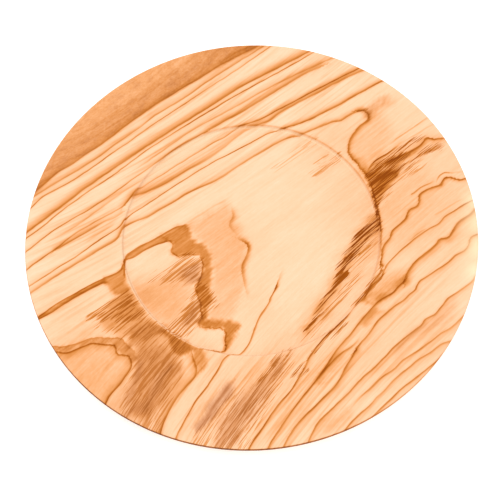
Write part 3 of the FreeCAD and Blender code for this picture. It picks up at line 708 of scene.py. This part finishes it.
class Nodes:
    """Small helpers that add nodes to a material. An input is a number, a tuple or a socket."""

    def __init__(self, name):
        self.material = bpy.data.materials.new(name)
        self.material.use_nodes = True
        self.tree = self.material.node_tree
        self.tree.nodes.clear()

    def add(self, kind, inputs=None, **settings):
        node = self.tree.nodes.new(kind)
        for key, value in settings.items():
            setattr(node, key, value)
        for key, value in (inputs or {}).items():
            if isinstance(value, bpy.types.NodeSocket):
                self.tree.links.new(value, node.inputs[key])
            else:
                node.inputs[key].default_value = value
        return node

    def math(self, operation, *values, clamp=False):
        node = self.add("ShaderNodeMath", dict(enumerate(values)), operation=operation, use_clamp=clamp)
        return node.outputs[0]

    def remap(self, value, low, high, to_low=0.0, to_high=1.0, kind="LINEAR"):
        """The value, taken from one range to the other and kept inside it."""
        limits = {"From Min": low, "From Max": high, "To Min": to_low, "To Max": to_high}
        return self.add("ShaderNodeMapRange", {"Value": value, **limits}, interpolation_type=kind).outputs[0]

    def ramp(self, value, low, high, to_low=0.0, to_high=1.0):
        """A smooth step of the value from low to high."""
        return self.remap(value, low, high, to_low, to_high, "SMOOTHSTEP")

    def attribute(self, name, output="Fac"):
        return self.add("ShaderNodeAttribute", attribute_name=name).outputs[output]

    def parts(self, name):
        """The three numbers of a vector attribute."""
        return self.add("ShaderNodeSeparateXYZ", {0: self.attribute(name, "Vector")}).outputs

    def noise(self, vector, size, detail, roughness=0.5, offset=(0, 0, 0)):
        """Noise from 0 to 1 with patches of about this size."""
        scale = tuple(1 / s for s in size)
        placed = self.add("ShaderNodeVectorMath", {0: vector, 1: scale, 2: offset}, operation="MULTIPLY_ADD")
        inputs = {"Vector": placed.outputs[0], "Scale": 1.0, "Detail": detail, "Roughness": roughness}
        return self.remap(self.add("ShaderNodeTexNoise", inputs).outputs["Fac"], 0.25, 0.75)

    def colours(self, value, stops):
        """A colour ramp of stops, each (place, red, green, blue) as for linear()."""
        node = self.add("ShaderNodeValToRGB", {"Fac": value})
        elements = node.color_ramp.elements
        elements.remove(elements[-1])
        for k, (at, *srgb) in enumerate(stops):
            element = elements.new(at) if k else elements[0]
            element.position = at
            element.color = linear(*srgb)
        return node.outputs["Color"]

    def mix(self, factor, a, b):
        node = self.add("ShaderNodeMix", {0: factor, 6: a, 7: b}, data_type="RGBA", clamp_factor=True)
        return node.outputs[2]

    def surface(self, inputs):
        shader = self.add("ShaderNodeBsdfPrincipled", inputs)
        out = self.add("ShaderNodeOutputMaterial")
        self.tree.links.new(shader.outputs[0], out.inputs[0])


WOOD_COLOURS = [
    (0.0, 255, 224, 190), (0.12, 253, 211, 171), (0.25, 252, 196, 151), (0.4, 244, 174, 117),
    (0.55, 228, 149, 82), (0.7, 205, 121, 45), (0.85, 170, 86, 9), (1.0, 126, 52, 0),
]
DULL_COLOURS = [
    (0.0, 253, 222, 192), (0.25, 246, 197, 158), (0.4, 232, 172, 130), (0.55, 214, 146, 100),
    (0.7, 188, 118, 70), (0.85, 150, 88, 42), (1.0, 108, 56, 22),
]
FELT_COLOURS = [(0.0, 38, 66, 46), (0.5, 58, 92, 66), (1.0, 84, 122, 92)]
# the colour of painted light, both the far wall's painted light and the right rim's painted glare
PAINTED_LIGHT_COLOUR = linear(270, 250, 208)  # past white in red, so a light touch of it shows

# Noises over the fibre: (size in mm along it, across it and down, detail, roughness, offset).
NOISES = {
    "fine": ((16, 0.9, 2), 2, 0.5, (0, 0, 0)),
    "coarse": ((50, 4, 6), 3, 0.5, (5, 3, 1)),
    "speck": ((3.2, 1.2, 2), 2, 0.6, (1, 4, 8)),
    "cloud": ((30, 22, 22), 3, 0.5, (2, 8, 3)),
    "bands": ((80, 2.4, 5), 2, 0.5, (6, 5, 4)),
    "mottle": ((9, 5, 5), 3, 0.65, (5, 9, 2)),
    "spots": ((2.0, 1.1, 1.5), 2, 0.7, (2, 2, 6)),
    "hair": ((22, 0.8, 3), 1.5, 0.6, (3, 6, 2)),
    "clump": ((34, 3.6, 5), 1, 0.5, (7, 2, 9)),
    "ragged": ((26, 1.3, 3), 3, 0.6, (9, 1, 7)),
    "wobble": ((9, 5, 5), 2, 0.5, (4, 4, 4)),
    "patchy": ((26, 12, 12), 2, 0.5, (8, 3, 5)),
}
FIBRE_DEPTH = 0.05  # how much the fine fibre and the coarse each darken the ground
SPECK_DEPTH = 0.04
FIBRE_MEAN = (2 * FIBRE_DEPTH + SPECK_DEPTH) / 2
STAINED_FIBRE = 2.2  # how much stronger it is where the wood is stained
HEARTWOOD_FIBRE = -0.65  # and how much of it the heartwood loses
BLOTCH = 0.07
CLOUD = 0.03
BANDING_DEPTH = 0.22
HEARTWOOD_DULLER = 0.3
HAIR_SHARE = 0.84  # the rest of a strand is clump
WOBBLE = 0.25  # how far a growth line wanders, in mm


def wood_ground(n, noise, tone, heart):
    """How dark the wood is between its lines and hairlines."""
    fibre = n.math("ADD", noise["fine"], noise["coarse"])
    fibre = n.math("MULTIPLY_ADD", fibre, FIBRE_DEPTH, n.math("MULTIPLY", noise["speck"], SPECK_DEPTH))
    fibre = n.math("SUBTRACT", fibre, FIBRE_MEAN)
    fibre = n.math("MULTIPLY", fibre, n.remap(tone, 0.0, 0.5, 1.0, STAINED_FIBRE))
    fibre = n.math("MULTIPLY", fibre, n.math("MULTIPLY_ADD", heart, HEARTWOOD_FIBRE, 1.0))
    mottle = n.remap(noise["mottle"], 0, 1, -BLOTCH, BLOTCH + 0.01)
    blotch = n.math("ADD", mottle, n.remap(noise["spots"], 0, 1, -BLOTCH, BLOTCH))
    fibre = n.math("MULTIPLY_ADD", blotch, heart, fibre)
    ground = n.math("ADD", tone, fibre)
    ground = n.math("ADD", ground, n.remap(noise["cloud"], 0, 1, -CLOUD, CLOUD))
    faint = n.ramp(noise["bands"], 0.35, 0.95, 0.0, BANDING_DEPTH)
    return n.math("MULTIPLY_ADD", n.attribute("banding"), faint, ground)


def hairlines(n, noise):
    """The dark hairlines, which are sparse towards the outside of their zone."""
    streak = n.attribute("streak")
    bare = n.math("SUBTRACT", 1.0, streak)
    clump = n.math("MULTIPLY", noise["clump"], 1 - HAIR_SHARE)
    strand = n.math("MULTIPLY_ADD", noise["hair"], HAIR_SHARE, clump)
    strand = n.remap(strand, 0.18, 0.82)
    drawn = n.ramp(strand, n.math("SUBTRACT", bare, 0.05), n.math("ADD", bare, 0.12))
    drawn = n.math("MULTIPLY", drawn, n.ramp(streak, 0.0, 0.12))
    return n.math("MULTIPLY", drawn, n.attribute("streak_depth"))


def under_growth_lines(n, noise, clear, layers):
    """What the growth lines leave clear: each has a sharp edge and a soft band."""
    shift = n.remap(noise["ragged"], 0, 1, -1, 1)
    wobble = n.remap(noise["wobble"], 0, 1, -WOBBLE, WOBBLE)
    varied = n.remap(noise["patchy"], 0.1, 0.9, 0.6, 1.12)
    for number in range(layers):
        distance, edge, width = n.parts(f"edge_{number}")
        band, reach, slip = n.parts(f"band_{number}")
        distance = n.math("MULTIPLY_ADD", shift, slip, distance)
        distance = n.math("ADD", distance, wobble)
        line = n.math("MULTIPLY", n.ramp(distance, -0.45, 0.1), n.ramp(distance, 0.1, width, 1.0, 0.0))
        line = n.math("MULTIPLY", n.math("MULTIPLY", line, edge), varied)
        glow = n.math("MULTIPLY", n.ramp(distance, -1.9, 0.9), n.ramp(distance, 0.0, reach, 1.0, 0.0))
        glow = n.math("MULTIPLY", glow, band)
        for mark in (line, glow):
            clear = n.math("MULTIPLY", clear, n.math("SUBTRACT", 1.0, mark))
    return clear


def wood_material(layers):
    n = Nodes("olive_wood")
    grain = n.attribute("grain", "Vector")
    noise = {name: n.noise(grain, *settings) for name, settings in NOISES.items()}
    tone = n.attribute("tone")
    heart = n.attribute("heart")
    ground = wood_ground(n, noise, tone, heart)
    clear = n.math("SUBTRACT", 1.0, ground, clamp=True)
    clear = n.math("MULTIPLY", clear, n.math("SUBTRACT", 1.0, hairlines(n, noise)))
    clear = under_growth_lines(n, noise, clear, layers)
    depth = n.math("SUBTRACT", 1.0, clear, clamp=True)
    mottle = n.ramp(noise["mottle"], 0.4, 0.9, 0.0, HEARTWOOD_DULLER)
    dull = n.math("MULTIPLY_ADD", heart, mottle, n.attribute("dull"))
    colour = n.mix(dull, n.colours(depth, WOOD_COLOURS), n.colours(depth, DULL_COLOURS))
    # painted light and painted glare, mixed into the colour
    colour = n.mix(n.attribute("painted_light"), colour, PAINTED_LIGHT_COLOUR)
    roughness = n.math("MULTIPLY_ADD", depth, -0.06, n.remap(noise["fine"], 0, 1, 0.44, 0.54))
    height = n.math("SUBTRACT", noise["fine"], depth)
    bump = n.add("ShaderNodeBump", {"Strength": 0.08, "Distance": 0.0004, "Height": height})
    n.surface({"Base Color": colour, "Roughness": roughness, "Normal": bump.outputs[0],
               "Specular IOR Level": 0.06})
    return n.material


def felt_material():
    n = Nodes("felt")
    place = n.add("ShaderNodeTexCoord").outputs["Object"]
    fluff = n.noise(place, (0.0008, 0.0008, 0.0008), detail=4, roughness=0.7)
    patches = n.noise(place, (0.02, 0.02, 0.02), detail=2, offset=(3, 1, 2))
    tone = n.math("ADD", n.math("MULTIPLY", fluff, 0.7), n.math("MULTIPLY", patches, 0.3))
    bump = n.add("ShaderNodeBump", {"Strength": 0.5, "Distance": 0.0003, "Height": fluff})
    n.surface({"Base Color": n.colours(tone, FELT_COLOURS), "Roughness": 0.95, "Sheen Weight": 0.4,
               "Normal": bump.outputs[0], "IOR": 1.4})
    return n.material


# ---- the plate ----
PLATE_SEGMENTS = 480
RING_STEP = 0.002
SHOULDER_STEP = 0.0004
HIDDEN_STEP = 0.012


def plate_step(point):
    """How far apart the rings are at this (radius, height): closest where thin lines run round."""
    radius, height = point
    over_felt = height < 0.0025 and radius < 0.072
    at_shoulder = height > 0.012 and 0.086 < radius < 0.09
    if over_felt:
        return HIDDEN_STEP
    return SHOULDER_STEP if at_shoulder else RING_STEP


outline = refined(half_section(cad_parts["turned_plate"]), plate_step)
widest = int(np.argmax(outline[:, 0] + MM * outline[:, 1]))  # the highest of the widest points
top_radii, top_heights = outline[:widest + 1].T / MM
plate, plate_verts = lathe("wooden_plate", outline, PLATE_SEGMENTS)
layers = figure(plate.data, plate_verts, lambda r: np.interp(r, top_radii, top_heights), top_radii[-1])
plate.data.materials.append(wood_material(layers))
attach(plate, "root")
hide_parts("turned_plate")

# ---- the felt ----
FELT_SEGMENTS = 180
FELT_ROUNDING = 0.0006
FELT_TOP_RINGS = 12
FELT_BOTTOM_RINGS = 40

low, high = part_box("base_felt")
felt_radius = high.x
round_centre = felt_radius - FELT_ROUNDING
felt_outline = [(0, high.z)]
felt_outline += [(r, high.z) for r in np.linspace(0.006, felt_radius - 0.0008, FELT_TOP_RINGS)]
for turn in np.radians((30, 60, 90)):
    outward, upward = FELT_ROUNDING * math.sin(turn), FELT_ROUNDING * math.cos(turn)
    felt_outline.append((round_centre + outward, high.z - FELT_ROUNDING + upward))
for turn in np.radians((0, 30, 60, 90)):
    outward, downward = FELT_ROUNDING * math.cos(turn), FELT_ROUNDING * math.sin(turn)
    felt_outline.append((round_centre + outward, low.z + FELT_ROUNDING - downward))
felt_outline += [(r, low.z) for r in np.linspace(felt_radius - 0.0012, 0.003, FELT_BOTTOM_RINGS)]
felt_outline += [(0, low.z)]
felt, _ = lathe("felt_disc", np.array(felt_outline), FELT_SEGMENTS)
felt.data.materials.append(felt_material())
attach(felt, "root")
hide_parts("base_felt")

# ---- stage ----
WORLD_LEVEL = 0.935
FLOOR_HALF = 3
WHITE = (1, 1, 1, 1)

floor_corners = [(FLOOR_HALF * x, FLOOR_HALF * y, 0) for x, y in ((-1, -1), (1, -1), (1, 1), (-1, 1))]
floor_mesh = bpy.data.meshes.new("floor")
floor_mesh.from_pydata(floor_corners, [], [(0, 1, 2, 3)])
floor = bpy.data.objects.new("floor", floor_mesh)
scene.collection.objects.link(floor)
floor_nodes = Nodes("floor")
floor_nodes.surface({
    "Base Color": (0.82, 0.82, 0.82, 1), "Roughness": 0.9, "Specular IOR Level": 0.1,
    "Emission Color": WHITE, "Emission Strength": 0.4,
})
floor_mesh.materials.append(floor_nodes.material)

world = bpy.data.worlds.new("world")
world.use_nodes = True
background = world.node_tree.nodes["Background"].inputs
background["Color"].default_value = WHITE
background["Strength"].default_value = WORLD_LEVEL
scene.world = world


def soft_light(name, place, size, power):
    """A square light at the place, in metres, that points at the plate."""
    light = bpy.data.lights.new(name, "AREA")
    light.size = size
    light.energy = power
    obj = bpy.data.objects.new(name, light)
    scene.collection.objects.link(obj)
    obj.location = place
    obj.rotation_mode = "QUATERNION"
    obj.rotation_quaternion = (-Vector(place)).to_track_quat("-Z", "Y")


soft_light("key", place=(-0.5, 0.7, 1.3), size=0.8, power=4.5)
soft_light("fill", place=(0.1, -0.5, 1.6), size=1.2, power=10)
